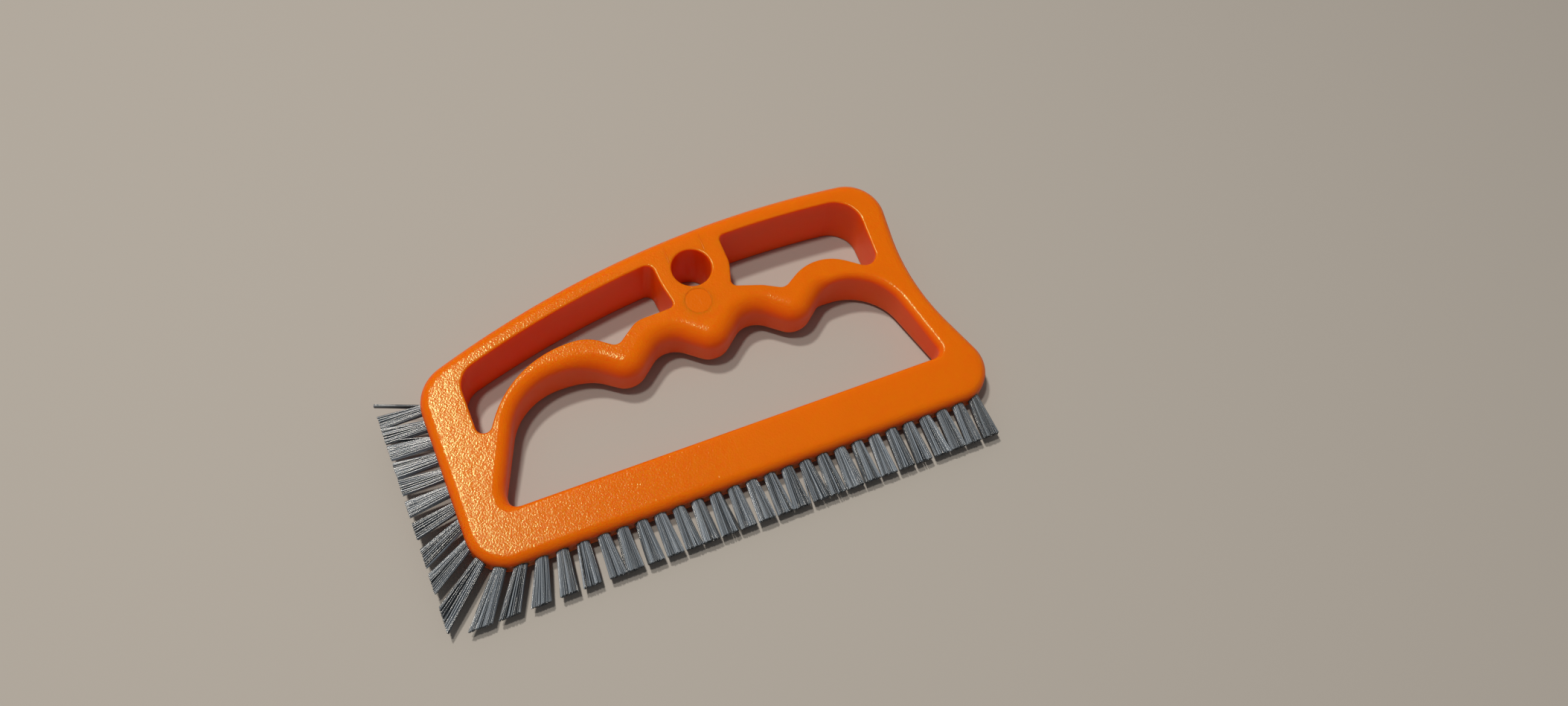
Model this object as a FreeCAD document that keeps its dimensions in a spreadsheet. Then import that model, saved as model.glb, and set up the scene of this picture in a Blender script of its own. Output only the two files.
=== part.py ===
# Grout brush: a moulded wedge-shaped handle with one row of tufts along its base and up its nose.
# Local frame: x from the nose face to the heel, y from the base face to the top bar, z across the
# thickness with z = 0 on the middle plane. The finished pieces lie on the lower flank, +Z up.
import FreeCAD
import Part
import Sketcher
import math
import os
import re
from dataclasses import dataclass

# Driving sizes, in millimetres and degrees
SIZES = {
    # Wedge of the handle
    "base_thickness": 8.5,
    "flank_angle": 4.16,
    "outer_edge_radius": 2.8,
    "slot_edge_radius": 0.55,
    "bar_edge_radius": 1.1,
    "palm_edge_radius": 3.4,
    "finger_edge_radius": 5.2,
    "back_edge_radius": 2.2,
    "overrun": 5.0,
    # Outer outline
    "front_corner_radius": 11.0,
    "crown_x": 105.5,
    "crown_height": 75.55,
    "crown_radius": 285.0,
    "nose_top_radius": 12.0,
    "heel_x": 153.9,
    "heel_radius": 10.0,
    "waist_inset": 14.4,
    "waist_drop": 14.45,
    "waist_radius": 64.0,
    "rear_top_overhang": 4.35,
    "rear_top_radius": 11.0,
    # Hand opening
    "bar_height": 14.0,
    "hand_front_inset": 1.8,
    "hand_front_radius": 3.0,
    "hand_bend_rise": 5.5,
    "hand_bend_radius": 8.0,
    "palm_rake": 12.0,
    "palm_wall": 6.4,
    "palm_radius": 18.5,
    "thumb_width": 18.75,
    "thumb_fall": 11.85,
    "thumb_radius": 17.0,
    "lobe_depth": 15.55,
    "arch_wall": 4.75,
    "finger_radius": 6.6,
    "last_arch_fall": 10.1,
    "last_arch_width": 16.0,
    "last_arch_wall": 7.1,
    "last_arch_radius": 8.0,
    "hand_back_rake": 7.3,
    "hand_back_radius": 16.0,
    "heel_wall": 9.44,
    "hand_heel_radius": 2.8,
    # Front slot
    "top_bar_width": 5.5,
    "nose_column_width": 11.7,
    "front_slot_height": 5.77,
    "front_tip_radius": 2.2,
    "front_sweep_run": 14.5,
    "front_sweep_radius": 31.0,
    "front_crest_radius": 12.0,
    "front_dip_offset": 1.45,
    "front_dip_depth": 5.4,
    "front_dip_fall": 7.05,
    "front_dip_rise": 7.3,
    "front_dip_radius": 2.6,
    "front_rise_radius": 7.0,
    "front_foot_flare": 1.35,
    "front_foot_rise": 0.5,
    "front_foot_radius": 1.6,
    "front_web_wall": 4.275,
    "front_web_lean": 0.35,
    "web_rise": 8.2,
    "web_radius": 20.0,
    "front_end_radius": 2.4,
    "front_top_radius": 7.0,
    # Rear slot
    "rear_web_wall": 5.125,
    "rear_web_radius": 6.0,
    "rear_foot_flare": 2.2,
    "rear_foot_rise": 1.2,
    "rear_foot_radius": 1.6,
    "rear_fall_depth": 1.5,
    "rear_fall_radius": 8.0,
    "rear_dip_offset": 0.95,
    "rear_dip_depth": 4.5,
    "rear_dip_fall": 5.75,
    "rear_dip_rise": 12.3,
    "rear_dip_radius": 3.0,
    "rear_crest_rise": 3.15,
    "rear_crest_radius": 14.0,
    "rear_tip_inset": 1.65,
    "rear_tip_depth": 8.75,
    "rear_tip_radius": 3.4,
    "rear_column_width": 8.75,
    "rear_end_radius": 8.0,
    "rear_top_corner_radius": 1.8,
    # Hanging hole and gate mark
    "hole_offset": 1.25,
    "hole_rise": 10.1,
    "hole_diameter": 11.35,
    "hole_edge_radius": 0.5,
    "gate_offset": 1.9,
    "gate_drop": 0.2,
    "gate_diameter": 7.6,
    "gate_depth": 0.12,
    # Tufts and their anchors
    "tuft_hole_diameter": 3.6,
    "tuft_hole_depth": 6.0,
    "tuft_clearance": 0.1,
    "tuft_pitch": 5.2,
    "tuft_gap": 0.5,
    "tuft_reach": 24.0,
    "tuft_fan_thickness": 3.0,
    "base_trim": 11.6,
    "nose_trim": 11.2,
    "upright_tuft_x": 33.2,
    "base_row_margin": 11.0,
    "nose_row_margin": 2.4,
    "anchor_thickness": 0.4,
    "anchor_length": 4.6,
    "anchor_width": 1.6,
    "anchor_seat": 0.9,
}

# The top tufts of the nose point forwards, this many degrees from straight down, and the others
# turn less. The corner's places are shares of its quarter round.
FORWARD = 94.0
FRONT_LEAN_SHARES = (0.319, 0.186, 0.106, 0.059)
CORNER_PLACE_SHARES = (0.311, 0.633, 0.956)
CORNER_LEAN_SHARES = (0.372, 0.521, 0.638)
NOSE_LEAN_SHARES = (0.691, 0.830, 0.904)
NOSE_PITCH_SHARE = 0.962

X_AXIS = FreeCAD.Vector(1, 0, 0)
Z_AXIS = FreeCAD.Vector(0, 0, 1)
MATCH = 1e-4
FULL_SHARE = 1.0
SIDE_SHARE = 0.97
HALF_THICKNESS_SHARE = 0.95
FRONT_TIP_SHARE = 1 / 3

doc = FreeCAD.newDocument("grout_brush")
sheet = doc.addObject("Spreadsheet::Sheet", "Sizes")
for row, (alias, number) in enumerate(SIZES.items(), start=1):
    sheet.set(f"A{row}", alias)
    sheet.set(f"B{row}", str(number))
    sheet.setAlias(f"B{row}", alias)
doc.recompute()


def size(alias):
    """Return the number that the sheet holds under an alias."""
    return float(sheet.get(alias))


def bound(text):
    """Return an expression on aliases as one that any object of the document can read."""
    return re.sub(r"[a-z_]+", lambda word: f"Sizes.{word[0]}" if word[0] in SIZES else word[0], text)


def amount(text):
    """Return the present number of an expression on aliases."""
    return float(sheet.evalExpression(bound(text)))


def add(kind, name, **sizes):
    """Add an object whose named properties follow expressions on the sheet."""
    item = doc.addObject(kind, name)
    for field, text in sizes.items():
        item.setExpression(field, bound(text))
    return item


@dataclass
class Corner:
    """A corner of an outline, its rounding, and the radius of a bowed side that follows it."""

    x: str
    y: str
    rounding: str
    bow: str = ""


def crown(x, inset="0"):
    """Return the height of the bowed top edge over x, moved in by an inset."""
    radius = f"(crown_radius - {inset})"
    return f"crown_height - crown_radius + sqrt({radius} ^ 2 - ({x} - crown_x) ^ 2)"


# Heights, from the grip's top under the narrowest place of the front slot
SWEEP_X = "(nose_column_width + front_sweep_run)"
GRIP_TOP = f"({crown(SWEEP_X, 'top_bar_width')} - front_slot_height)"
WAIST_HEIGHT = f"({GRIP_TOP} - waist_drop)"
HAND_BEND = "(bar_height + hand_bend_rise)"
FRONT_TIP = f"({HAND_BEND} + ({GRIP_TOP} - {HAND_BEND}) * {FRONT_TIP_SHARE})"

# Places along the handle, from the nose to the heel
HAND_FRONT_X = "(nose_column_width + hand_front_inset)"
PALM_X = f"({HAND_FRONT_X} + palm_rake)"
THUMB_X = f"({PALM_X} + thumb_width)"
WAIST_X = "(heel_x - waist_inset)"
REAR_TOP_X = f"({WAIST_X} + rear_top_overhang)"
HAND_HEEL_X = f"(heel_x - waist_inset * bar_height / {WAIST_HEIGHT} - heel_wall)"
HAND_BACK_X = f"({HAND_HEEL_X} - hand_back_rake)"
LAST_ARCH_X = f"({HAND_BACK_X} - last_arch_width)"
FIRST_LOBE_X = f"({THUMB_X} + thumb_fall)"
LAST_LOBE_X = f"({LAST_ARCH_X} - last_arch_fall)"
FIRST_ARCH_X = f"((3 * {FIRST_LOBE_X} + {LAST_LOBE_X}) / 4)"
MIDDLE_LOBE_X = f"(({FIRST_LOBE_X} + {LAST_LOBE_X}) / 2)"
SECOND_ARCH_X = f"(({FIRST_LOBE_X} + 3 * {LAST_LOBE_X}) / 4)"
HOLE_X = f"({MIDDLE_LOBE_X} + hole_offset)"
FRONT_DIP_X = f"({FIRST_LOBE_X} - front_dip_offset)"
FRONT_WEB_X = f"({HOLE_X} - hole_diameter / 2 - front_web_wall)"
FRONT_END_X = f"({FRONT_WEB_X} - front_web_lean)"
REAR_WEB_X = f"({HOLE_X} + hole_diameter / 2 + rear_web_wall)"
REAR_DIP_X = f"({LAST_LOBE_X} - rear_dip_offset)"
REAR_END_X = f"({REAR_TOP_X} - rear_column_width)"

OUTER = (
    Corner("0", "0", "front_corner_radius"),
    Corner("heel_x", "0", "heel_radius"),
    Corner(WAIST_X, WAIST_HEIGHT, "waist_radius"),
    Corner(REAR_TOP_X, crown(REAR_TOP_X), "rear_top_radius", "crown_radius"),
    Corner("0", crown("0"), "nose_top_radius"),
)
HAND = (
    Corner(HAND_FRONT_X, "bar_height", "hand_front_radius"),
    Corner(HAND_HEEL_X, "bar_height", "hand_heel_radius"),
    Corner(HAND_BACK_X, f"{GRIP_TOP} - last_arch_wall", "hand_back_radius"),
    Corner(LAST_ARCH_X, f"{GRIP_TOP} - last_arch_wall", "last_arch_radius"),
    Corner(LAST_LOBE_X, f"{GRIP_TOP} - lobe_depth", "finger_radius"),
    Corner(SECOND_ARCH_X, f"{GRIP_TOP} - arch_wall", "finger_radius"),
    Corner(MIDDLE_LOBE_X, f"{GRIP_TOP} - lobe_depth", "finger_radius"),
    Corner(FIRST_ARCH_X, f"{GRIP_TOP} - arch_wall", "finger_radius"),
    Corner(FIRST_LOBE_X, f"{GRIP_TOP} - lobe_depth", "finger_radius"),
    Corner(THUMB_X, f"{GRIP_TOP} - palm_wall", "thumb_radius"),
    Corner(PALM_X, f"{GRIP_TOP} - palm_wall", "palm_radius"),
    Corner(HAND_FRONT_X, HAND_BEND, "hand_bend_radius"),
)
FRONT_SLOT = (
    Corner("nose_column_width", FRONT_TIP, "front_tip_radius"),
    Corner(SWEEP_X, GRIP_TOP, "front_sweep_radius"),
    Corner(f"{FRONT_DIP_X} - front_dip_fall", GRIP_TOP, "front_crest_radius"),
    Corner(FRONT_DIP_X, f"{GRIP_TOP} - front_dip_depth", "front_dip_radius"),
    Corner(f"{FRONT_DIP_X} + front_dip_rise", GRIP_TOP, "front_rise_radius"),
    Corner(f"{FRONT_WEB_X} + front_foot_flare", f"{GRIP_TOP} + front_foot_rise", "front_foot_radius"),
    Corner(FRONT_WEB_X, f"{GRIP_TOP} + web_rise", "web_radius"),
    Corner(FRONT_END_X, crown(FRONT_END_X, "top_bar_width"), "front_end_radius",
           "crown_radius - top_bar_width"),
    Corner("nose_column_width", crown("nose_column_width", "top_bar_width"), "front_top_radius"),
)
REAR_SLOT = (
    Corner(f"{REAR_WEB_X} - rear_foot_flare", f"{GRIP_TOP} + rear_foot_rise", "rear_foot_radius"),
    Corner(f"{REAR_DIP_X} - rear_dip_fall", f"{GRIP_TOP} - rear_fall_depth", "rear_fall_radius"),
    Corner(REAR_DIP_X, f"{GRIP_TOP} - rear_dip_depth", "rear_dip_radius"),
    Corner(f"{REAR_DIP_X} + rear_dip_rise", f"{GRIP_TOP} + rear_crest_rise", "rear_crest_radius"),
    Corner(f"{REAR_END_X} - rear_tip_inset", f"{GRIP_TOP} - rear_tip_depth", "rear_tip_radius"),
    Corner(REAR_END_X, crown(REAR_END_X, "top_bar_width"), "rear_end_radius",
           "crown_radius - top_bar_width"),
    Corner(REAR_WEB_X, crown(REAR_WEB_X, "top_bar_width"), "rear_top_corner_radius"),
    Corner(REAR_WEB_X, f"{GRIP_TOP} + web_rise", "rear_web_radius"),
)


def middle_plane_sketch(body, name):
    """Add a sketch on the body's middle plane."""
    planes = body.Origin.OriginFeatures
    sketch = body.newObject("Sketcher::SketchObject", name)
    sketch.AttachmentSupport = (next(plane for plane in planes if plane.Role == "XY_Plane"), [""])
    sketch.MapMode = "FlatFace"
    return sketch


def bowed_side(start, end, radius):
    """Return an arc from start to end that bulges to the right of its direction."""
    chord = end - start
    middle = (start + end) / 2
    outwards = FreeCAD.Vector(chord.y, -chord.x, 0).normalize()
    rise = radius - math.sqrt(radius ** 2 - (chord.Length / 2) ** 2)
    return Part.Arc(start, middle + outwards * rise, end)


def bind_point(sketch, side, end, corner):
    """Hold one end of a side at its corner, on an axis or at distances from the origin."""
    for kind, axis, text in (("DistanceX", -2, corner.x), ("DistanceY", -1, corner.y)):
        if text == "0":
            sketch.addConstraint(Sketcher.Constraint("PointOnObject", side, end, axis))
            continue
        place = sketch.addConstraint(Sketcher.Constraint(kind, -1, 1, side, end, amount(text)))
        sketch.setExpression(f"Constraints[{place}]", bound(text))


def outline_sketch(body, name, corners):
    """Add the closed outline through the corners, each one held by expressions."""
    sketch = middle_plane_sketch(body, name)
    points = [FreeCAD.Vector(amount(corner.x), amount(corner.y), 0) for corner in corners]
    sides = []
    for index, corner in enumerate(corners):
        start, end = points[index], points[(index + 1) % len(points)]
        if corner.bow:
            side = sketch.addGeometry(bowed_side(start, end, amount(corner.bow)), False)
        else:
            side = sketch.addGeometry(Part.LineSegment(start, end), False)
        first = 1 if sketch.getPoint(side, 1).distanceToPoint(start) < MATCH else 2
        sides.append((side, first))
    for index, corner in enumerate(corners):
        side, first = sides[index]
        before, before_first = sides[index - 1]
        sketch.addConstraint(Sketcher.Constraint("Coincident", before, 3 - before_first, side, first))
        bind_point(sketch, side, first, corner)
        if corner.bow:
            place = sketch.addConstraint(Sketcher.Constraint("Radius", side, amount(corner.bow)))
            sketch.setExpression(f"Constraints[{place}]", bound(corner.bow))
    doc.recompute()
    return sketch


def upright_edges(shape, corners):
    """Return the names of the edges that run across the thickness at the corners."""
    places = [(amount(corner.x), amount(corner.y)) for corner in corners]
    names = []
    for number, edge in enumerate(shape.Edges, start=1):
        low, high = edge.Vertexes[0].Point, edge.Vertexes[-1].Point
        if math.hypot(low.x - high.x, low.y - high.y) > MATCH:
            continue
        if any(math.hypot(low.x - x, low.y - y) < MATCH for x, y in places):
            names.append(f"Edge{number}")
    return names


def corner_turn(points, index):
    """Return how far the outline turns at a corner, in radians, from its chords."""
    arriving = points[index] - points[index - 1]
    leaving = points[(index + 1) % len(points)] - points[index]
    return arriving.getAngle(leaving)


def fitting_shares(corners):
    """Return the share of each corner's rounding that its two sides have room for."""
    points = [FreeCAD.Vector(amount(corner.x), amount(corner.y), 0) for corner in corners]
    reaches = [
        size(corner.rounding) * math.tan(corner_turn(points, index) / 2)
        for index, corner in enumerate(corners)
    ]
    shares = [FULL_SHARE] * len(corners)
    for index, reach in enumerate(reaches):
        room = (points[index] - points[index - 1]).Length * SIDE_SHARE
        share = min(FULL_SHARE, room / (reach + reaches[index - 1]))
        shares[index] = min(shares[index], share)
        shares[index - 1] = min(shares[index - 1], share)
    return shares


def round_corners(body, name, corners):
    """Round the corners of an outline, one feature for each radius, as far as its sides have room."""
    shares = fitting_shares(corners)
    for rounding in dict.fromkeys(corner.rounding for corner in corners):
        base = body.Tip
        alike = [index for index, corner in enumerate(corners) if corner.rounding == rounding]
        share = min(shares[index] for index in alike)
        fillet = body.newObject("PartDesign::Fillet", f"{name}_{rounding}")
        fillet.Base = (base, upright_edges(base.Shape, [corners[index] for index in alike]))
        fillet.setExpression("Radius", f"{bound(rounding)} * {share}")
        doc.recompute()


def cut_through(body, name, sketch):
    """Cut a sketch right through the blank, both ways from the middle plane."""
    before = body.Tip.Shape.Volume
    pocket = body.newObject("PartDesign::Pocket", name)
    pocket.Profile = sketch
    pocket.Type = "ThroughAll"
    pocket.SideType = "Symmetric"
    doc.recompute()
    if pocket.Shape.Volume >= before:
        raise RuntimeError(f"{name} cut nothing")


def hole_sketch(body):
    """Add the circle of the hanging hole."""
    sketch = middle_plane_sketch(body, "hanging_hole_outline")
    height = f"{GRIP_TOP} + hole_rise"
    centre = FreeCAD.Vector(amount(HOLE_X), amount(height), 0)
    circle = sketch.addGeometry(Part.Circle(centre, Z_AXIS, size("hole_diameter") / 2), False)
    for kind, text in (("DistanceX", HOLE_X), ("DistanceY", height)):
        place = sketch.addConstraint(Sketcher.Constraint(kind, -1, 1, circle, 3, amount(text)))
        sketch.setExpression(f"Constraints[{place}]", bound(text))
    place = sketch.addConstraint(Sketcher.Constraint("Diameter", circle, size("hole_diameter")))
    sketch.setExpression(f"Constraints[{place}]", bound("hole_diameter"))
    doc.recompute()
    return sketch


TOP_THICKNESS = "(base_thickness + 2 * (crown_height + overrun) * tan(flank_angle * 1 deg))"
FOOT_THICKNESS = "(base_thickness - 2 * overrun * tan(flank_angle * 1 deg))"


def handle_blank():
    """Make the handle as a straight plate with its rounded outline, three openings and hole."""
    body = doc.addObject("PartDesign::Body", "handle_blank")
    pad = body.newObject("PartDesign::Pad", "plate")
    pad.Profile = outline_sketch(body, "outer_outline", OUTER)
    pad.SideType = "Symmetric"
    pad.setExpression("Length", bound(TOP_THICKNESS))
    doc.recompute()
    round_corners(body, "outer", OUTER)
    for name, corners in (("hand", HAND), ("front_slot", FRONT_SLOT), ("rear_slot", REAR_SLOT)):
        cut_through(body, f"{name}_opening", outline_sketch(body, f"{name}_outline", corners))
        round_corners(body, name, corners)
    cut_through(body, "hanging_hole", hole_sketch(body))
    return body


def wedged_blank(blank):
    """Take the blank down to the wedge between its two flanks."""
    wedge = add(
        "Part::Wedge", "flank_wedge",
        Xmin="0 - overrun", Xmax="heel_x + overrun", X2min="0 - overrun", X2max="heel_x + overrun",
        Ymin="0 - overrun", Ymax="crown_height + overrun",
        Zmin=f"0 - {FOOT_THICKNESS} / 2", Zmax=f"{FOOT_THICKNESS} / 2",
        Z2min=f"0 - {TOP_THICKNESS} / 2", Z2max=f"{TOP_THICKNESS} / 2",
    )
    common = doc.addObject("Part::Common", "handle_wedge")
    common.Base = blank
    common.Tool = wedge
    doc.recompute()
    return common


def rim_radius(box, point):
    """Return the edge rounding at a point of a flank's outline, which its box tells apart."""
    if box.XLength > amount(WAIST_X):
        return min(size("outer_edge_radius"), size("base_thickness") / 2 * HALF_THICKNESS_SHARE)
    if box.XLength > amount(f"{HAND_BACK_X} - {PALM_X}"):
        if point.y < size("bar_height") + MATCH:
            return size("bar_edge_radius")
        if point.x < amount(THUMB_X):
            return size("palm_edge_radius")
        return size("back_edge_radius" if point.x > amount(LAST_ARCH_X) else "finger_edge_radius")
    if box.XLength < size("hole_diameter") + MATCH:
        return size("hole_edge_radius")
    return size("slot_edge_radius")


def rounded_handle(wedged):
    """Round every edge where a wall of the handle meets a flank."""
    shape = wedged.Shape
    flanks = sorted(shape.Faces, key=lambda face: face.Area)[-2:]
    edges = []
    for wire in (wire for flank in flanks for wire in flank.Wires):
        for number, edge in enumerate(shape.Edges, start=1):
            if any(edge.isSame(side) for side in wire.Edges):
                ends = (edge.Vertexes[0].Point, edge.Vertexes[-1].Point)
                edges.append((number, *(rim_radius(wire.BoundBox, end) for end in ends)))
    fillet = doc.addObject("Part::Fillet", "handle_rounded")
    fillet.Base = wedged
    fillet.Edges = edges
    doc.recompute()
    return fillet


@dataclass
class Seat:
    """Where a tuft leaves the handle, and the share of a full turn forwards that it leans."""

    label: str
    x: float
    y: float
    lean_share: float

    def placement(self):
        """Return the tuft's own frame: z out of the hole, x along the row, y across the handle."""
        angle = math.radians(FORWARD * self.lean_share)
        along = FreeCAD.Vector(math.cos(angle), -math.sin(angle), 0)
        outwards = FreeCAD.Vector(-math.sin(angle), -math.cos(angle), 0)
        turn = FreeCAD.Rotation(along, Z_AXIS, outwards, "ZXY")
        return FreeCAD.Placement(FreeCAD.Vector(self.x, self.y, 0), turn)


def base_seats():
    """List the seats along the base, from the leaning front tufts to the heel."""
    front, upright, pitch = size("front_corner_radius"), size("upright_tuft_x"), size("tuft_pitch")
    front_pitch = (upright - front) / len(FRONT_LEAN_SHARES)
    places = [(front + front_pitch * index, share) for index, share in enumerate(FRONT_LEAN_SHARES)]
    room = size("heel_x") - size("base_row_margin") - upright
    places += [(upright + pitch * index, 0) for index in range(int(room / pitch) + 1)]
    return [Seat(f"tuft_base_{number:02d}", x, 0, share)
            for number, (x, share) in enumerate(places, start=1)]


def corner_seats():
    """List the seats round the front corner, from the base to the nose."""
    radius = size("front_corner_radius")
    seats = []
    for number, (place, share) in enumerate(zip(CORNER_PLACE_SHARES, CORNER_LEAN_SHARES), start=1):
        angle = place * math.pi / 2
        x, y = radius * (1 - math.sin(angle)), radius * (1 - math.cos(angle))
        seats.append(Seat(f"tuft_corner_{number:02d}", x, y, share))
    return seats


def nose_seats():
    """List the seats up the nose, from the corner to the top."""
    first = size("front_corner_radius") + size("tuft_pitch")
    pitch = size("tuft_pitch") * NOSE_PITCH_SHARE
    count = int((amount(crown("0")) - size("nose_row_margin") - first) / pitch) + 1
    shares = NOSE_LEAN_SHARES + (FULL_SHARE,) * (count - len(NOSE_LEAN_SHARES))
    return [Seat(f"tuft_nose_{number:02d}", 0, first + pitch * (number - 1), share)
            for number, share in enumerate(shares, start=1)]


def trim_box():
    """Make the block that the tufts are trimmed to: two straight cuts that meet at the corner."""
    return add(
        "Part::Box", "trim_box",
        Length="heel_x + nose_trim", Width="crown_height + base_trim",
        Height="tuft_hole_diameter + 2 * overrun",
        **{"Placement.Base.x": "0 - nose_trim", "Placement.Base.y": "0 - base_trim",
           "Placement.Base.z": "0 - tuft_hole_diameter / 2 - overrun"},
    )


ROOT_RADIUS = "(tuft_hole_diameter / 2 - tuft_clearance)"
ROOT_DEPTH = "(tuft_hole_depth - tuft_clearance)"
FAN_RADIUS = f"({ROOT_RADIUS} + ((tuft_pitch - tuft_gap) / 2 - {ROOT_RADIUS}) * tuft_reach / base_trim)"


def placed(item, seat, depth=0.0):
    """Put an object into a seat's frame, sunk to a depth in the hole."""
    sunk = FreeCAD.Placement(FreeCAD.Vector(0, 0, -depth), FreeCAD.Rotation())
    item.Placement = seat.placement().multiply(sunk)
    return item


def tuft_hole(seat):
    """Make the tool that drills a tuft's blind hole and clears its mouth."""
    hole = add("Part::Cylinder", f"{seat.label}_hole",
               Radius="tuft_hole_diameter / 2", Height="tuft_hole_depth + overrun")
    return placed(hole, seat, size("tuft_hole_depth"))


def tuft_anchor(seat):
    """Make the flat wire that holds a tuft's fold at the bottom of its hole."""
    anchor = add("Part::Box", f"{seat.label}_anchor",
                 Length="anchor_thickness", Width="anchor_length", Height="anchor_width")
    corner = FreeCAD.Vector(-size("anchor_thickness") / 2, -size("anchor_length") / 2,
                            size("anchor_seat") - size("tuft_hole_depth"))
    anchor.Placement = seat.placement().multiply(FreeCAD.Placement(corner, FreeCAD.Rotation()))
    return anchor


def tuft_fan(seat):
    """Make the free part of a tuft, round at its root and fanned out along the row."""
    root = add("Part::Circle", f"{seat.label}_root_edge", Radius=ROOT_RADIUS)
    tip = add("Part::Ellipse", f"{seat.label}_tip_edge",
              MajorRadius=FAN_RADIUS, MinorRadius="tuft_fan_thickness / 2")
    placed(root, seat)
    placed(tip, seat, -size("tuft_reach"))
    fan = doc.addObject("Part::Loft", f"{seat.label}_fan")
    fan.Sections = [root, tip]
    fan.Solid = True
    fan.Ruled = True
    return fan


def boolean(kind, name, base, tool):
    """Add a boolean of two objects."""
    result = doc.addObject(kind, name)
    result.Base = base
    result.Tool = tool
    return result


def tuft(seat, trim, anchor):
    """Make one tuft: its root in the hole, its trimmed fan, and the slot where its anchor sits."""
    root = add("Part::Cylinder", f"{seat.label}_root", Radius=ROOT_RADIUS, Height=ROOT_DEPTH)
    placed(root, seat, amount(ROOT_DEPTH))
    whole = boolean("Part::Fuse", f"{seat.label}_whole", root, tuft_fan(seat))
    trimmed = boolean("Part::Common", f"{seat.label}_trimmed", whole, trim)
    return boolean("Part::Cut", seat.label, trimmed, anchor)


def gate_mark():
    """Make the tool for the shallow round mark that moulding leaves on the upper flank."""
    mark = add("Part::Cylinder", "gate_mark", Radius="gate_diameter / 2", Height="overrun")
    slope = math.radians(size("flank_angle"))
    height = amount(f"{GRIP_TOP} - gate_drop")
    surface = size("base_thickness") / 2 + height * math.tan(slope)
    tilt = FreeCAD.Rotation(X_AXIS, size("flank_angle"))
    sunk = tilt.multVec(Z_AXIS) * -size("gate_depth")
    centre = FreeCAD.Vector(amount(f"{HOLE_X} - gate_offset"), height, surface)
    mark.Placement = FreeCAD.Placement(centre + sunk, tilt)
    return mark


def handle_frame(rounded, tools):
    """Drill the rounded handle for its tufts and anchors."""
    fused = doc.addObject("Part::MultiFuse", "handle_tools")
    fused.Shapes = tools
    return boolean("Part::Cut", "handle_frame", rounded, fused)


def lay_down(pieces):
    """Turn the pieces onto the lower flank, with the middle of their box over the origin."""
    tilt = FreeCAD.Rotation(X_AXIS, size("flank_angle"))
    whole = Part.Compound([piece.Shape for piece in pieces])
    whole.Placement = FreeCAD.Placement(FreeCAD.Vector(), tilt)
    box = whole.optimalBoundingBox(False, False)
    shift = FreeCAD.Vector(-box.Center.x, -box.Center.y, -box.ZMin)
    for piece in pieces:
        piece.Placement = FreeCAD.Placement(shift, tilt)
    doc.recompute()
    print("Laid by", *shift, "into a box of", box.XLength, box.YLength, box.ZLength)


def check_document():
    """Stop if any object failed or made no shape."""
    for item in doc.Objects:
        if "Invalid" in item.State or "Error" in item.State:
            raise RuntimeError(f"{item.Label} failed: {item.State}")


def export(pieces):
    """Check the shape of each piece and write its file."""
    check_document()
    for piece in pieces:
        if piece.Shape.isNull() or not piece.Shape.isValid():
            raise RuntimeError(f"{piece.Label} has no valid shape")
    os.makedirs("parts", exist_ok=True)
    for piece in pieces:
        piece.Shape.exportStep(f"parts/{piece.Label}.step")


seats = base_seats() + corner_seats() + nose_seats()
anchors = [tuft_anchor(seat) for seat in seats]
holes = [tuft_hole(seat) for seat in seats]
trim = trim_box()
tufts = [tuft(seat, trim, anchor) for seat, anchor in zip(seats, anchors)]
handle = handle_frame(rounded_handle(wedged_blank(handle_blank())), holes + anchors + [gate_mark()])
anchor_set = doc.addObject("Part::Compound", "tuft_anchors")
anchor_set.Links = anchors
doc.recompute()
pieces = [handle, *tufts, anchor_set]
lay_down(pieces)
export(pieces)
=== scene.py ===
"""Looks of a grout brush: an orange moulded handle and a row of grey bristle tufts.

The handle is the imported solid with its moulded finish. Each tuft solid gives way to a bundle of
separate filaments that stand in the same hole and are trimmed to the same two planes. Lengths are
millimetres in the brush's own frame: x from the nose face to the heel, y from the base face to the
top bar, z across the thickness from the middle plane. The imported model's metres come last.
"""

from __future__ import annotations

import logging
import math
import random
from collections.abc import Callable
from dataclasses import dataclass, field, replace
from enum import Enum

import bpy
from mathutils import Euler, Matrix, Vector

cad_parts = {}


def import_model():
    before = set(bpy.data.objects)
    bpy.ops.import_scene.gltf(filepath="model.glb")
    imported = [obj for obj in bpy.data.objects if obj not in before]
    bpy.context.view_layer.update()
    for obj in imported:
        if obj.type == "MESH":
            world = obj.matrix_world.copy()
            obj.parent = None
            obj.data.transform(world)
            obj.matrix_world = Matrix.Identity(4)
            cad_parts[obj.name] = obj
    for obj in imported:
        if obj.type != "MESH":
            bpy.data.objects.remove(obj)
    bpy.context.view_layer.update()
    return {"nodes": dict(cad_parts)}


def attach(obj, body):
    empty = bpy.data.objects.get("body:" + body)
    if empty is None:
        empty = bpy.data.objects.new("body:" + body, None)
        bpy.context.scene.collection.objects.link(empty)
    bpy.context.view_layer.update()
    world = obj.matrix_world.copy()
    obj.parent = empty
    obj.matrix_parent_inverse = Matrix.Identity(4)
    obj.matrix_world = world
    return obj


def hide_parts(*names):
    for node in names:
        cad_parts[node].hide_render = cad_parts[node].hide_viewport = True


MM = 0.001
BODY = "root"
LOG = logging.getLogger("grout_brush")


class Slot(Enum):
    """Names of two material slots: the handle's plastic and the bristles."""

    HANDLE = "handle_plastic"
    BRISTLE = "bristle"


def linear(colour: str) -> tuple[float, float, float, float]:
    """Turn an sRGB hex colour into linear red, green, blue and a full alpha.

    Args:
        colour: Six hex digits after a hash sign.

    Returns:
        The linear colour, as shader sockets take it.
    """
    shares = [int(colour[place:place + 2], 16) / 255 for place in (1, 3, 5)]
    levels = [share / 12.92 if share <= 0.04045 else ((share + 0.055) / 1.055) ** 2.4
              for share in shares]
    return (*levels, 1.0)


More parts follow.
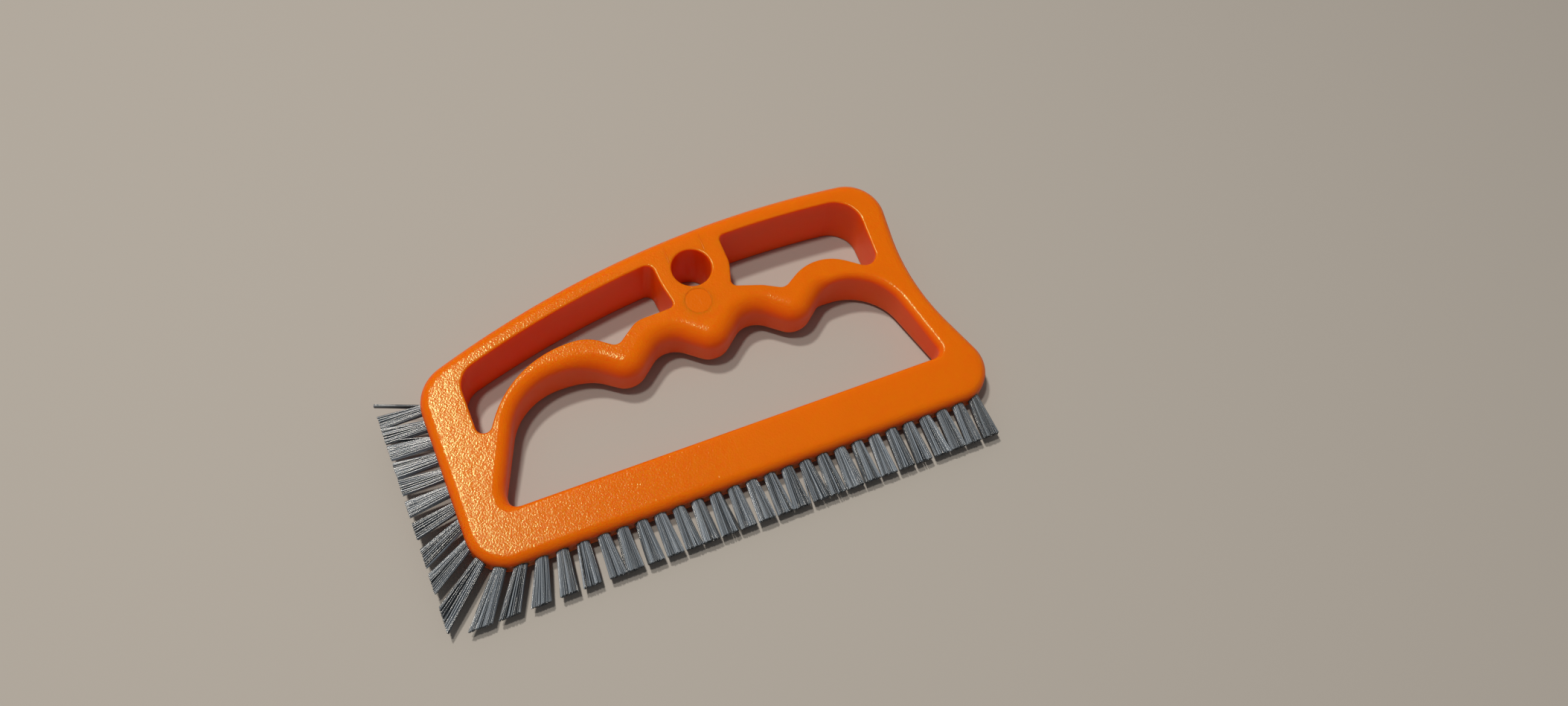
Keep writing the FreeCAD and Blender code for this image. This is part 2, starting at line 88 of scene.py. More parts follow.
def per_metre(size: float) -> float:
    """Return the texture scale whose pattern repeats about every size, in millimetres."""
    return 1 / (size * MM)


def add_node(
    tree: bpy.types.NodeTree,
    kind: str,
    sockets: dict[str | int, object] | None = None,
    links: dict[str | int, bpy.types.NodeSocket] | None = None,
    **settings: object,
) -> bpy.types.Node:
    """Add a node to a tree, with its settings, socket values and incoming links.

    Args:
        tree: Tree that takes the node.
        kind: Blender's name of the kind of node.
        sockets: Values of input sockets, by name or number.
        links: Output sockets that feed input sockets, by name or number.
        settings: Fields of the node itself.

    Returns:
        The new node.
    """
    node = tree.nodes.new(kind)
    for name, value in settings.items():
        setattr(node, name, value)
    for socket, value in (sockets or {}).items():
        node.inputs[socket].default_value = value
    for socket, source in (links or {}).items():
        tree.links.new(source, node.inputs[socket])
    return node


def new_material(name: str) -> tuple[bpy.types.Material, bpy.types.NodeTree]:
    """Make a material with an empty node tree.

    Args:
        name: Name of the material.

    Returns:
        The material and its tree.
    """
    material = bpy.data.materials.new(name)
    material.use_nodes = True
    material.node_tree.nodes.clear()
    return material, material.node_tree


def deselect_all() -> None:
    """Leave no object selected, so that an operator acts only on what is chosen next."""
    bpy.ops.object.select_all(action="DESELECT")


def choose(piece: bpy.types.Object) -> None:
    """Make a piece the only selected object and the active one.

    Args:
        piece: Object to choose.
    """
    deselect_all()
    piece.select_set(True)
    bpy.context.view_layer.objects.active = piece


def select_edges(piece: bpy.types.Object, wanted: Callable[[Vector, Vector], bool]) -> None:
    """Enter edit mode with only the wanted edges of a piece selected.

    Args:
        piece: Mesh object, in object mode.
        wanted: Test of an edge by the places of its two ends.
    """
    bpy.ops.object.mode_set(mode="EDIT")
    bpy.ops.mesh.select_mode(type="EDGE")
    bpy.ops.mesh.select_all(action="DESELECT")
    bpy.ops.object.mode_set(mode="OBJECT")
    points = [vertex.co for vertex in piece.data.vertices]
    for edge in piece.data.edges:
        edge.select = wanted(points[edge.vertices[0]], points[edge.vertices[1]])
    bpy.ops.object.mode_set(mode="EDIT")


@dataclass(frozen=True)
class BrushFrame:
    """The brush's own frame, and how it lies on its lower flank."""

    flank_angle: float = 4.16
    base_thickness: float = 8.5
    lay_shift: tuple[float, float, float] = (-69.132, -32.081, 4.239)

    def place(self) -> Matrix:
        """Return the matrix from the brush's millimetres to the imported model's metres."""
        turn = Matrix.Rotation(math.radians(self.flank_angle), 4, "X")
        return Matrix.Scale(MM, 4) @ Matrix.Translation(self.lay_shift) @ turn

    def flank_place(self, x: float, y: float) -> Matrix:
        """Return the frame of a point on the upper flank, with its z axis out of the flank.

        Args:
            x: Place along the handle.
            y: Height over the base face.

        Returns:
            The matrix from the flank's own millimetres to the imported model's metres.
        """
        slope = math.radians(self.flank_angle)
        surface = Vector((x, y, self.base_thickness / 2 + y * math.tan(slope)))
        return self.place() @ Matrix.Translation(surface) @ Matrix.Rotation(slope, 4, "X")


@dataclass(frozen=True)
class MouldedPolypropylene:
    """Coloured polypropylene from a spark-eroded mould: grainy flanks, smoother rounds and walls.

    The grain breaks the light on the flanks into small golden glints. A real one is a few tenths of a
    millimetre, too fine to show, so it is drawn at about half a millimetre. The smooth walls scatter
    less light back, and the plastic lets light in, red the deepest. The walls and rounds are also
    mixed towards a deeper red colour, which is painted shade. The ranges of facing run from a wall, 0,
    to a flat flank, 1.
    """

    name: str = "moulded_polypropylene"
    colour: str = "#E87600"
    cloud_colour: str = "#E06E00"
    # Deeper red of the walls and rounds: painted shade.
    painted_wall_shade: str = "#F25500"
    thin_colour: str = "#E46C00"
    thin_cloud_colour: str = "#DC6400"
    cloud_size: float = 22.0
    grain_size: float = 0.48
    grain_depth: float = 0.062
    wall_grain_share: float = 0.1
    ripple_size: float = 2.6
    ripple_depth: float = 0.1
    ripple_share: float = 0.5
    grain_facing: tuple[float, float] = (0.6, 0.97)
    wall_shade_facing: tuple[float, float] = (0.25, 0.95)
    flank_roughness: float = 0.19
    wall_roughness: float = 0.45
    ior: float = 1.49
    gloss: float = 0.38
    gloss_tint: str = "#C0FFBC"
    bleed: float = 0.9
    bleed_depth: float = 4.0
    bleed_shares: tuple[float, float, float] = (1.0, 0.16, 0.03)

    def build(self, frame: BrushFrame) -> bpy.types.Material:
        """Make the material.

        Args:
            frame: Frame of the brush, for the directions of its two flanks.

        Returns:
            The finished material.
        """
        material, tree = new_material(self.name)
        coords = add_node(tree, "ShaderNodeTexCoord")
        place = coords.outputs["Object"]
        facing = self.flank_facing(tree, coords.outputs["Normal"], frame)
        flank = add_node(tree, "ShaderNodeMapRange",
                         {"From Min": self.grain_facing[0], "From Max": self.grain_facing[1]},
                         {"Value": facing})
        wall_shade_mask = add_node(tree, "ShaderNodeMapRange",
                              {"From Min": self.wall_shade_facing[0], "From Max": self.wall_shade_facing[1]},
                              {"Value": facing})

        cloud = add_node(tree, "ShaderNodeTexNoise",
                         {"Scale": per_metre(self.cloud_size), "Detail": 3.0}, {"Vector": place})
        clouded = add_node(tree, "ShaderNodeMix", {6: linear(self.cloud_colour), 7: linear(self.colour)},
                           {0: cloud.outputs["Fac"]}, data_type="RGBA")
        # Walls and rounds are mixed towards a deeper red by their facing: painted shade.
        colour = add_node(tree, "ShaderNodeMix", {6: linear(self.painted_wall_shade)},
                          {0: wall_shade_mask.outputs["Result"], 7: clouded.outputs[2]}, data_type="RGBA")
        sheen = add_node(tree, "ShaderNodeMapRange",
                         {"To Min": self.wall_roughness, "To Max": self.flank_roughness},
                         {"Value": flank.outputs["Result"]})

        grain = add_node(tree, "ShaderNodeTexNoise",
                         {"Scale": per_metre(self.grain_size), "Detail": 1.0, "Roughness": 0.5},
                         {"Vector": place})
        ripple = add_node(tree, "ShaderNodeTexNoise",
                          {"Scale": per_metre(self.ripple_size), "Detail": 1.0}, {"Vector": place})
        rippled = add_node(tree, "ShaderNodeBump",
                           {"Strength": self.ripple_share, "Distance": self.ripple_depth * MM},
                           {"Height": ripple.outputs["Fac"]})
        depth = add_node(tree, "ShaderNodeMapRange", {"To Min": self.wall_grain_share, "To Max": 1.0},
                         {"Value": flank.outputs["Result"]})
        grained = add_node(tree, "ShaderNodeBump", {"Distance": self.grain_depth * MM},
                           {"Strength": depth.outputs["Result"], "Height": grain.outputs["Fac"],
                            "Normal": rippled.outputs["Normal"]})
        shader = add_node(
            tree, "ShaderNodeBsdfPrincipled",
            {"IOR": self.ior, "Specular IOR Level": self.gloss, "Specular Tint": linear(self.gloss_tint),
             "Subsurface Weight": self.bleed, "Subsurface Radius": self.bleed_shares,
             "Subsurface Scale": self.bleed_depth * MM},
            {"Base Color": colour.outputs[2], "Roughness": sheen.outputs["Result"],
             "Normal": grained.outputs["Normal"]})
        add_node(tree, "ShaderNodeOutputMaterial", links={"Surface": shader.outputs["BSDF"]})
        return material

    def thinned(self) -> MouldedPolypropylene:
        """Return the finish of a mark too thin to let light in, in the tone of the flank round it."""
        return replace(self, name="thin_polypropylene", colour=self.thin_colour,
                       cloud_colour=self.thin_cloud_colour, bleed=0.0)

    def flank_facing(self, tree: bpy.types.NodeTree, normal: bpy.types.NodeSocket,
                     frame: BrushFrame) -> bpy.types.NodeSocket:
        """Add a measure that is 1 on the two flat flanks and falls to 0 over the rounds to the walls.

        Args:
            tree: Tree of the material.
            normal: Socket with the surface's normal.
            frame: Frame of the brush.

        Returns:
            Socket of the measure.
        """
        slope = math.radians(2 * frame.flank_angle)
        upper = (0.0, -math.sin(slope), math.cos(slope))
        lower = (0.0, 0.0, -1.0)
        facing = [
            add_node(tree, "ShaderNodeVectorMath", {1: side}, {0: normal}, operation="DOT_PRODUCT")
            for side in (upper, lower)
        ]
        nearest = add_node(tree, "ShaderNodeMath", None,
                           {0: facing[0].outputs["Value"], 1: facing[1].outputs["Value"]},
                           operation="MAXIMUM")
        return nearest.outputs["Value"]


@dataclass(frozen=True)
class NylonFilament:
    """Drawn nylon monofilament: slate grey and glossy, its strands in darker and paler streaks.

    The streaks are partly random tone and partly painted highlight.
    """

    # The pale end of the range partly stands for painted highlight on the strands.
    dark: str = "#161B21"
    pale: str = "#8D99A7"
    roughness: float = 0.17
    ior: float = 1.53

    def build(self) -> bpy.types.Material:
        """Make the material.

        Returns:
            The finished material.
        """
        material, tree = new_material("nylon_filament")
        tone = add_node(tree, "ShaderNodeAttribute", attribute_name=Filament.TONE_AND_HIGHLIGHT)
        colour = add_node(tree, "ShaderNodeMix", {6: linear(self.dark), 7: linear(self.pale)},
                          {0: tone.outputs["Fac"]}, data_type="RGBA")
        shader = add_node(tree, "ShaderNodeBsdfPrincipled",
                          {"IOR": self.ior, "Roughness": self.roughness},
                          {"Base Color": colour.outputs[2]})
        add_node(tree, "ShaderNodeOutputMaterial", links={"Surface": shader.outputs["BSDF"]})
        return material


@dataclass(frozen=True)
class ShadedCutNylon:
    """The sheared end of a filament: darker than its drawn side, and rough from the trimming knife.

    The darker tone is painted shade.
    """

    # Both tones of the cut ends are darker as painted shade.
    dark: str = "#24272B"
    pale: str = "#3A3F45"
    burr_size: float = 0.3
    roughness: float = 0.62
    ior: float = 1.53

    def build(self) -> bpy.types.Material:
        """Make the material.

        Returns:
            The finished material.
        """
        material, tree = new_material("shaded_cut_nylon")
        coords = add_node(tree, "ShaderNodeTexCoord")
        burr = add_node(tree, "ShaderNodeTexNoise", {"Scale": per_metre(self.burr_size)},
                        {"Vector": coords.outputs["Object"]})
        colour = add_node(tree, "ShaderNodeMix", {6: linear(self.dark), 7: linear(self.pale)},
                          {0: burr.outputs["Fac"]}, data_type="RGBA")
        shader = add_node(tree, "ShaderNodeBsdfPrincipled",
                          {"IOR": self.ior, "Roughness": self.roughness},
                          {"Base Color": colour.outputs[2]})
        add_node(tree, "ShaderNodeOutputMaterial", links={"Surface": shader.outputs["BSDF"]})
        return material


@dataclass(frozen=True)
class FlatWire:
    """Rolled steel wire, as the tuft anchors are cut from it: dull, with fine marks from the rolls."""

    colour: str = "#9A9893"
    mark_size: float = 0.2
    roughness: float = 0.42
    roughness_spread: float = 0.1

    def build(self) -> bpy.types.Material:
        """Make the material.

        Returns:
            The finished material.
        """
        material, tree = new_material("flat_wire")
        coords = add_node(tree, "ShaderNodeTexCoord")
        marks = add_node(tree, "ShaderNodeTexNoise", {"Scale": per_metre(self.mark_size)},
                         {"Vector": coords.outputs["Object"]})
        rough = add_node(tree, "ShaderNodeMapRange",
                         {"To Min": self.roughness - self.roughness_spread,
                          "To Max": self.roughness + self.roughness_spread},
                         {"Value": marks.outputs["Fac"]})
        shader = add_node(tree, "ShaderNodeBsdfPrincipled",
                          {"Base Color": linear(self.colour), "Metallic": 1.0},
                          {"Roughness": rough.outputs["Result"]})
        add_node(tree, "ShaderNodeOutputMaterial", links={"Surface": shader.outputs["BSDF"]})
        return material


@dataclass(frozen=True)
class PaleFloor:
    """The plain matt floor that the brush lies on."""

    colour: str = "#ACA8A4"
    roughness: float = 0.8

    def build(self) -> bpy.types.Material:
        """Make the material.

        Returns:
            The finished material.
        """
        material, tree = new_material("pale_floor")
        shader = add_node(tree, "ShaderNodeBsdfPrincipled",
                          {"Base Color": linear(self.colour), "Roughness": self.roughness})
        add_node(tree, "ShaderNodeOutputMaterial", links={"Surface": shader.outputs["BSDF"]})
        return material


@dataclass(frozen=True)
class Seat:
    """Where a tuft leaves the handle, and its lean from straight down towards the nose, in degrees."""

    node: str
    x: float
    y: float
    lean: float

    def frame(self) -> Matrix:
        """Work out the tuft's own frame: x along the row, y across the handle, z out of the hole.

        Returns:
            The matrix from the tuft's millimetres to the brush's.
        """
        angle = math.radians(self.lean)
        along = Vector((math.cos(angle), -math.sin(angle), 0))
        across = Vector((0, 0, 1))
        outwards = Vector((-math.sin(angle), -math.cos(angle), 0))
        turn = Matrix((along, across, outwards)).transposed().to_4x4()
        return Matrix.Translation((self.x, self.y, 0)) @ turn


@dataclass(frozen=True)
class Splay:
    """A few strands at the edge of a tuft that lean away from the rest, in degrees."""

    node: str
    edge_share: float
    lean: float


@dataclass
class Filament:
    """One straight strand, modelled once and copied for every strand of every tuft."""

    diameter: float = 0.38
    sides: int = 6
    cuts: int = 2
    smooth_angle: float = 65.0
    TONE_AND_HIGHLIGHT = "strand_tone_and_highlight"

    def model(self, drawn: bpy.types.Material, cut: bpy.types.Material) -> bpy.types.Object:
        """Model the strand with unit length along z, so that a copy can be drawn between two points.

        Args:
            drawn: Finish of its side.
            cut: Finish of its trimmed end.

        Returns:
            The strand, which isn't part of the brush itself.
        """
        deselect_all()
        bpy.ops.mesh.primitive_cylinder_add(
            vertices=self.sides, radius=self.diameter / 2, depth=1.0, location=(0, 0, 0.5))
        strand = bpy.context.object
        strand.name = "filament_pattern"
        bpy.ops.object.transform_apply(location=True, rotation=True, scale=True)
        select_edges(strand, lambda low, high: abs(low.z - high.z) > 0.5)
        bpy.ops.mesh.subdivide(number_cuts=self.cuts)
        bpy.ops.object.mode_set(mode="OBJECT")
        strand.data.materials.append(drawn)
        strand.data.materials.append(cut)
        for face in strand.data.polygons:
            face.material_index = int(face.normal.z > 0.5)
        return strand

    def drawn_copy(self, pattern: bpy.types.Object, root: Vector, tip: Vector, bow: Vector,
                   tone: float) -> bpy.types.Object:
        """Copy the strand between two points.

        Args:
            pattern: The modelled strand.
            root: Its end in the hole.
            tip: Its trimmed end.
            bow: How far its middle stands off the straight line.
            tone: Its tone, from 0, dark, to 1, pale, which partly stands for painted highlight.

        Returns:
            The copy, with a mesh of its own.
        """
        mesh = pattern.data.copy()
        axis = tip - root
        turn = axis.to_track_quat("Z", "Y").to_matrix()
        for vertex in mesh.vertices:
            share = vertex.co.z
            side = turn @ Vector((vertex.co.x, vertex.co.y, 0))
            # The bow is a parabola, full at the strand's middle and nothing at its ends.
            vertex.co = root + axis * share + bow * (4 * share * (1 - share)) + side
        tones_and_highlights = mesh.attributes.new(self.TONE_AND_HIGHLIGHT, "FLOAT", "POINT")
        tones_and_highlights.data.foreach_set("value", [tone] * len(mesh.vertices))
        copy = bpy.data.objects.new("filament", mesh)
        bpy.context.collection.objects.link(copy)
        return copy


@dataclass
class TuftRow:
    """The tufts along the base, round the front corner and up the nose.

    Leans are degrees from straight down towards the nose, and sways are small leans of single tufts on
    top. A tuft is a round bundle at its root, and is fanned out along the row and thinned across it
    towards its trimmed end.
    """

    front_corner_radius: float = 11.0
    upright_x: float = 33.2
    pitch: float = 5.2
    nose_pitch: float = 5.0
    upright_count: int = 22
    nose_count: int = 8
    base_trim: float = 11.6
    nose_trim: float = 11.2
    root_radius: float = 1.7
    trim_radius: float = 2.4
    thin_share: float = 0.55
    rings: int = 4
    first_ring: int = 6
    sunk: float = 1.6
    short_cut: float = 0.3
    tip_scatter: float = 0.07
    stray_scatter: float = 0.5
    stray_share: float = 0.03
    droop_scatter: float = 0.05
    bow: float = 0.06
    tilt_scatter: float = 0.7
    # Streaks of tone across each tuft: partly random tone, partly painted highlight.
    highlight_streaks: int = 9
    highlight_streak_share: float = 0.65
    splayed_tone: float = 0.25
    front_leans: tuple[float, ...] = (30.0, 17.5, 10.0, 5.5)
    corner_places: tuple[float, ...] = (28.0, 57.0, 86.0)
    corner_leans: tuple[float, ...] = (35.0, 49.0, 60.0)
    nose_leans: tuple[float, ...] = (65.0, 78.0, 85.0)
    forward: float = 94.0
    base_sways: tuple[float, ...] = (
        0.0, 1.0, 0.5, 1.5, 0.0, 3.5, 0.5, -0.2, -0.5, 1.7, 1.5, 1.2, 0.5,
        -0.5, 1.7, -1.0, 0.5, 0.5, 1.5, 2.2, 1.5, 1.7, -1.0, 0.7, 2.5, 2.0)
    nose_sways: tuple[float, ...] = (0.0, 0.0, 0.0, -1.0, -1.2, 1.0, 1.0, -1.0)
    splays: tuple[Splay, ...] = (Splay("tuft_nose_08", 0.65, 15.0), Splay("tuft_nose_06", 0.8, 7.0))
    seed: int = 7
    seed_step: int = 1000
    filament: Filament = field(default_factory=Filament)

    def seats(self) -> list[Seat]:
        """List the seats of all tufts, along the base, round the corner and up the nose.

        Returns:
            The seats, in the order in which the tufts are modelled.
        """
        front_pitch = (self.upright_x - self.front_corner_radius) / len(self.front_leans)
        base = [(self.front_corner_radius + front_pitch * index, lean)
                for index, lean in enumerate(self.front_leans)]
        base += [(self.upright_x + self.pitch * index, 0.0) for index in range(self.upright_count)]
        seats = [Seat(f"tuft_base_{number:02d}", x, 0.0, lean + sway)
                 for number, ((x, lean), sway) in enumerate(zip(base, self.base_sways), start=1)]
        for number, (place, lean) in enumerate(zip(self.corner_places, self.corner_leans), start=1):
            angle = math.radians(place)
            x = self.front_corner_radius * (1 - math.sin(angle))
            y = self.front_corner_radius * (1 - math.cos(angle))
            seats.append(Seat(f"tuft_corner_{number:02d}", x, y, lean))
        leans = self.nose_leans + (self.forward,) * (self.nose_count - len(self.nose_leans))
        first = self.front_corner_radius + self.pitch
        seats += [Seat(f"tuft_nose_{index + 1:02d}", 0.0, first + self.nose_pitch * index, lean + sway)
                  for index, (lean, sway) in enumerate(zip(leans, self.nose_sways))]
        return seats

    def trimmed(self, start: Vector, heading: Vector) -> Vector:
        """Return where a strand meets the first of the two trimming planes.

        Args:
            start: Place where the strand leaves the handle.
            heading: Its direction.

        Returns:
            The point on the plane.
        """
        reaches = []
        if heading.y < 0:
            reaches.append((-self.base_trim - start.y) / heading.y)
        if heading.x < 0:
            reaches.append((-self.nose_trim - start.x) / heading.x)
        return start + heading * min(reaches)

    def strand_places(self, turn: float) -> list[tuple[float, float]]:
        """Pack the strands of a tuft in rings, side by side.

        Args:
            turn: Turn of the rings.

        Returns:
            Each strand's place along the row and across the handle, as shares of the outer ring.
        """
        places = [(0.0, 0.0)]
        for ring in range(1, self.rings + 1):
            share, count = ring / self.rings, self.first_ring * ring
            angles = [turn + math.tau * index / count for index in range(count)]
            places += [(share * math.cos(angle), share * math.sin(angle)) for angle in angles]
        return places

    @staticmethod
    def evened(along: float) -> float:
        """Return a strand's place along the row where its tuft is fanned out evenly.

        Args:
            along: Its place at the root, as a share of the outer ring.

        Returns:
            Its place at the tip, as a share of the fan's half width.
        """
        angle = math.asin(max(-1.0, min(1.0, along)))
        return (along * math.cos(angle) + angle) * 2 / math.pi

    def strand_ends(self, seat: Seat, place: tuple[float, float], chance: random.Random,
                    lean: Matrix) -> tuple[Vector, Vector]:
        """Work out the two ends of a strand of a tuft.

        Args:
            seat: Seat of the tuft.
            place: The strand's place in the tuft, as shares of the outer ring.
            chance: Source of the tuft's unevenness.
            lean: Small turn of the strand.

        Returns:
            The end in the hole and the trimmed end, in the brush's millimetres.
        """
        inner = self.root_radius - self.filament.diameter / 2
        outer = self.trim_radius - self.filament.diameter / 2
        along, across = place
        scatter = self.stray_scatter if chance.random() < self.stray_share else self.tip_scatter
        root = Vector((along * inner, across * inner, 0))
        tip = Vector((self.evened(along) * outer + chance.gauss(0, scatter),
                      across * inner * self.thin_share + chance.gauss(0, self.droop_scatter),
                      self.base_trim))
        frame = seat.frame()
        start = frame @ root
        heading = (frame @ (lean @ tip) - start).normalized()
        end = self.trimmed(start, heading)
        return start - heading * self.sunk, end - heading * chance.uniform(0, self.short_cut)

    def build_tuft(self, seat: Seat, number: int, pattern: bpy.types.Object,
                   frame: BrushFrame) -> bpy.types.Object:
        """Model one tuft as a bundle of strands.

        Args:
            seat: Seat of the tuft.
            number: Number of the tuft, which seeds its unevenness.
            pattern: The modelled strand.
            frame: Frame of the brush.

        Returns:
            The tuft, in place.
        """
        chance = random.Random(self.seed * self.seed_step + number)
        tilt = Matrix.Rotation(math.radians(chance.gauss(0, self.tilt_scatter)), 4, "X")
        splays = [splay for splay in self.splays if splay.node == seat.node]
        tones_and_highlights = [chance.random() for _ in range(self.highlight_streaks)]
        copies = []
        for place in self.strand_places(chance.uniform(0, math.tau)):
            aside = sum(splay.lean for splay in splays if place[0] < -splay.edge_share)
            lean = tilt @ Matrix.Rotation(-math.radians(aside), 4, "Y")
            root, tip = self.strand_ends(seat, place, chance, lean)
            bow = Vector([chance.gauss(0, self.bow) for _ in range(3)])
            # The strand takes the tone of its streak across the tuft, partly painted highlight, mixed
            # with a random tone of its own.
            streak = tones_and_highlights[min(int((place[0] + 1) / 2 * self.highlight_streaks), self.highlight_streaks - 1)]
            tone = streak * self.highlight_streak_share + chance.random() * (1 - self.highlight_streak_share)
            if aside:
                tone = self.splayed_tone
            copies.append(self.filament.drawn_copy(pattern, root, tip, bow, tone))
        choose(copies[0])
        for copy in copies:
            copy.select_set(True)
        bpy.ops.object.join()
        bundle = bpy.context.object
        bundle.name = f"{seat.node}_bristles"
        bundle.data.name = bundle.name
        bundle.data.transform(frame.place())
        bpy.ops.object.shade_smooth_by_angle(angle=math.radians(self.filament.smooth_angle))
        return bundle

    def build(self, frame: BrushFrame) -> None:
        """Model every tuft in place of its solid.

        Args:
            frame: Frame of the brush.
        """
        pattern = self.filament.model(NylonFilament().build(), ShadedCutNylon().build())
        for number, seat in enumerate(self.seats()):
            bundle = self.build_tuft(seat, number, pattern, frame)
            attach(bundle, BODY)
            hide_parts(seat.node)
            LOG.info("%s: modelled", bundle.name)
        bpy.data.objects.remove(pattern)


@dataclass
class GateScar:
    """The rough round scar where the plastic was injected, in its shallow recess on the upper flank."""

    x: float = 80.3
    y: float = 52.6
    diameter: float = 7.4
    recess: float = 0.12
    sides: int = 48
    rings: int = 9
    relief: float = 0.08
    relief_middle: float = 0.35
    lump_size: float = 0.6
    lump_octaves: int = 2
    skirt: float = 0.06
    smooth_angle: float = 50.0

    def build(self, frame: BrushFrame, finish: bpy.types.Material) -> bpy.types.Object:
        """Model the scar.

        Args:
            frame: Frame of the brush.
            finish: Finish of the handle.

        Returns:
            The scar, in place.
        """
        deselect_all()
        bpy.ops.mesh.primitive_circle_add(
            vertices=self.sides, radius=self.diameter / 2, fill_type="NGON", location=(0, 0, 0))
        scar = bpy.context.object
        scar.name = "gate_scar"
        bpy.ops.object.mode_set(mode="EDIT")
        bpy.ops.mesh.select_all(action="SELECT")
        ring = self.diameter / 2 / (self.rings + 1)
        for _ in range(self.rings):
            bpy.ops.mesh.inset(thickness=ring)
        bpy.ops.mesh.poke()
        bpy.ops.object.mode_set(mode="OBJECT")
        lumps = bpy.data.textures.new("gate_lumps", "CLOUDS")
        lumps.noise_scale = self.lump_size
        lumps.noise_depth = self.lump_octaves
        swell = scar.modifiers.new("lumps", "DISPLACE")
        swell.texture = lumps
        swell.texture_coords = "LOCAL"
        swell.strength = self.relief
        swell.mid_level = self.relief_middle
        bpy.ops.object.modifier_apply(modifier=swell.name)
        wall = scar.modifiers.new("skirt", "SOLIDIFY")
        wall.thickness = self.skirt
        wall.offset = -1
        bpy.ops.object.modifier_apply(modifier=wall.name)
        scar.data.transform(Matrix.Translation((0, 0, self.skirt - self.recess)))
        scar.data.transform(frame.flank_place(self.x, self.y))
        bpy.ops.object.shade_smooth_by_angle(angle=math.radians(self.smooth_angle))
        scar.data.materials.append(finish)
        return scar


@dataclass
class WitnessLines:
    """The fine raised lines that the mould's insert leaves beside the hanging hole."""

    places: tuple[tuple[float, float, float], ...] = ((76.9, 66.2, 71.2), (87.8, 66.6, 72.2))
    width: float = 0.28
    height: float = 0.09
    sunk: float = 0.05
    round_share: float = 0.9
    round_segments: int = 3
    smooth_angle: float = 60.0

    def build(self, frame: BrushFrame, finish: bpy.types.Material) -> list[bpy.types.Object]:
        """Model the lines.

        Args:
            frame: Frame of the brush.
            finish: Finish of the handle.

        Returns:
            The lines, in place.
        """
        return [self.line(number, *place, frame, finish)
                for number, place in enumerate(self.places, start=1)]

    def line(self, number: int, x: float, low: float, high: float, frame: BrushFrame,
             finish: bpy.types.Material) -> bpy.types.Object:
        """Model one line as a low ridge with rounded sides that sinks away at its ends.

        Args:
            number: Number of the line.
            x: Place along the handle.
            low: Height of its lower end.
            high: Height of its upper end.
            frame: Frame of the brush.
            finish: Finish of the handle.

        Returns:
            The line, in place.
        """
        deselect_all()
        bpy.ops.mesh.primitive_cube_add(size=1.0, location=(0, 0, 0))
        ridge = bpy.context.object
        ridge.name = f"witness_line_{number}"
        ridge.data.transform(Matrix.Diagonal((self.width, high - low, self.height + self.sunk, 1)))
        select_edges(ridge, lambda one, two: one.z > 0 and two.z > 0)
        bpy.ops.mesh.bevel(offset=self.height * self.round_share, segments=self.round_segments)
        bpy.ops.object.mode_set(mode="OBJECT")
        ridge.data.transform(Matrix.Translation((0, 0, (self.height - self.sunk) / 2)))
        ridge.data.transform(frame.flank_place(x, (low + high) / 2))
        bpy.ops.object.shade_smooth_by_angle(angle=math.radians(self.smooth_angle))
        ridge.data.materials.append(finish)
        return ridge


@dataclass
class Handle:
    """The moulded handle, with the marks that its mould left."""

    node: str = "handle_frame"
    anchors: str = "tuft_anchors"
    scar: GateScar = field(default_factory=GateScar)
    lines: WitnessLines = field(default_factory=WitnessLines)

    def build(self, nodes: dict[str, bpy.types.Object], frame: BrushFrame) -> None:
        """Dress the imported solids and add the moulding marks.

        Args:
            nodes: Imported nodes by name.
            frame: Frame of the brush.
        """
        moulded = MouldedPolypropylene()
        plastic = moulded.build(frame)
        for node, finish in ((self.node, plastic), (self.anchors, FlatWire().build())):
            for slot in nodes[node].material_slots:
                slot.material = finish
            LOG.info("%s: finished in %s", node, finish.name)
        thin = moulded.thinned().build(frame)
        for mark in (self.scar.build(frame, thin), *self.lines.build(frame, thin)):
            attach(mark, BODY)
            LOG.info("%s: modelled", mark.name)


@dataclass(frozen=True)
class Lamp:
    """A round lamp far above the brush."""

    name: str
    heading: tuple[float, float, float]
    power: float
    target: tuple[float, float, float] = (-20.0, 0.0, 10.0)
    distance: float = 1300.0
    diameter: float = 110.0
    colour: str = "#FFF7EA"

    def build(self) -> None:
        """Hang the lamp, facing the brush."""
        heading = Vector(self.heading).normalized()
        deselect_all()
        bpy.ops.object.light_add(
            type="AREA", location=(Vector(self.target) + heading * self.distance) * MM,
            rotation=heading.to_track_quat("Z", "Y").to_euler())
        lamp = bpy.context.object
        lamp.name = self.name
        lamp.data.shape = "DISK"
        lamp.data.size = self.diameter * MM
        lamp.data.energy = self.power
        lamp.data.color = linear(self.colour)[:3]


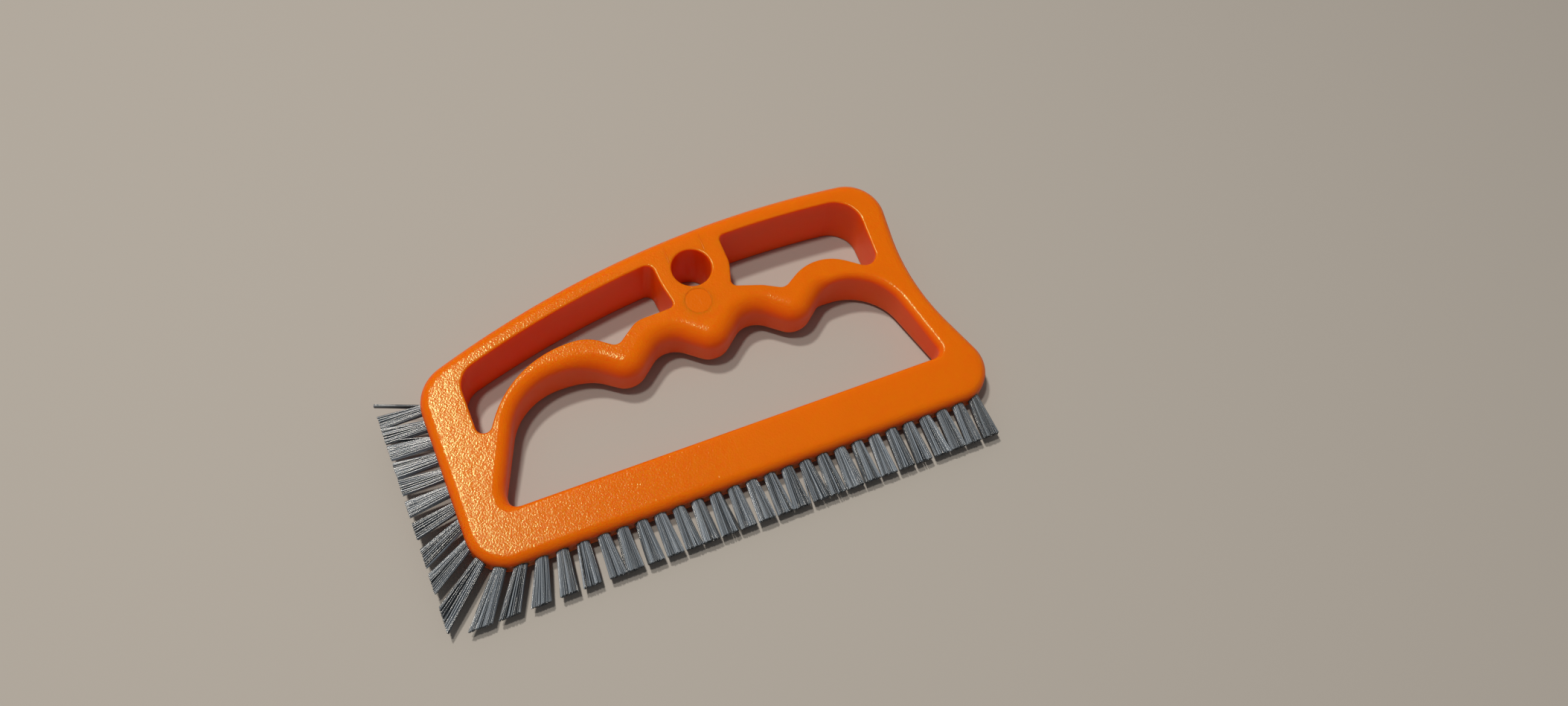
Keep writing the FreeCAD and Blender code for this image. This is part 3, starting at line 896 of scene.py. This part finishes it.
@dataclass
class Studio:
    """The floor, two lamps, the soft surrounding light and the camera of the photograph's view."""

    floor_size: float = 6000.0
    camera_place: tuple[float, float, float] = (-67.836, -173.858, 330.486)
    camera_angles: tuple[float, float, float] = (31.4712, -3.3592, -23.6641)
    focal_length: float = 31.08
    sensor_width: float = 36.0
    lamps: tuple[Lamp, ...] = (
        Lamp("rear_lamp", (-0.14, 0.28, 0.95), 8.5),
        Lamp("overhead_lamp", (-0.18, 0.02, 0.98), 5.8),
    )
    surround_colour: str = "#F4F1EC"
    surround_strength: float = 0.2

    def build(self) -> None:
        """Set up the whole studio."""
        self.build_floor()
        for lamp in self.lamps:
            lamp.build()
        self.build_surround()
        self.build_camera()
        bpy.context.scene.view_settings.view_transform = "Standard"

    def build_floor(self) -> None:
        """Lay the floor at the height of the lower flank."""
        deselect_all()
        bpy.ops.mesh.primitive_plane_add(size=self.floor_size * MM, location=(0, 0, 0))
        floor = bpy.context.object
        floor.name = "floor"
        floor.data.materials.append(PaleFloor().build())

    def build_surround(self) -> None:
        """Light the brush softly from all sides."""
        world = bpy.data.worlds.new("soft_room")
        world.use_nodes = True
        tree = world.node_tree
        tree.nodes.clear()
        sky = add_node(tree, "ShaderNodeBackground",
                       {"Color": linear(self.surround_colour), "Strength": self.surround_strength})
        add_node(tree, "ShaderNodeOutputWorld", links={"Surface": sky.outputs["Background"]})
        bpy.context.scene.world = world

    def build_camera(self) -> None:
        """Stand the camera where the photograph was taken from."""
        turn = Euler([math.radians(angle) for angle in self.camera_angles], "XYZ")
        deselect_all()
        bpy.ops.object.camera_add(location=Vector(self.camera_place) * MM, rotation=turn)
        camera = bpy.context.object
        camera.name = "photo_camera"
        camera.data.sensor_fit = "HORIZONTAL"
        camera.data.sensor_width = self.sensor_width
        camera.data.lens = self.focal_length
        camera.data.clip_start = MM
        bpy.context.scene.camera = camera


def main() -> None:
    """Build the brush and its studio."""
    logging.basicConfig(level=logging.INFO, format="%(message)s")
    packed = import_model()
    frame = BrushFrame()
    Handle().build(packed["nodes"], frame)
    TuftRow().build(frame)
    Studio().build()


if __name__ == "__main__":
    main()
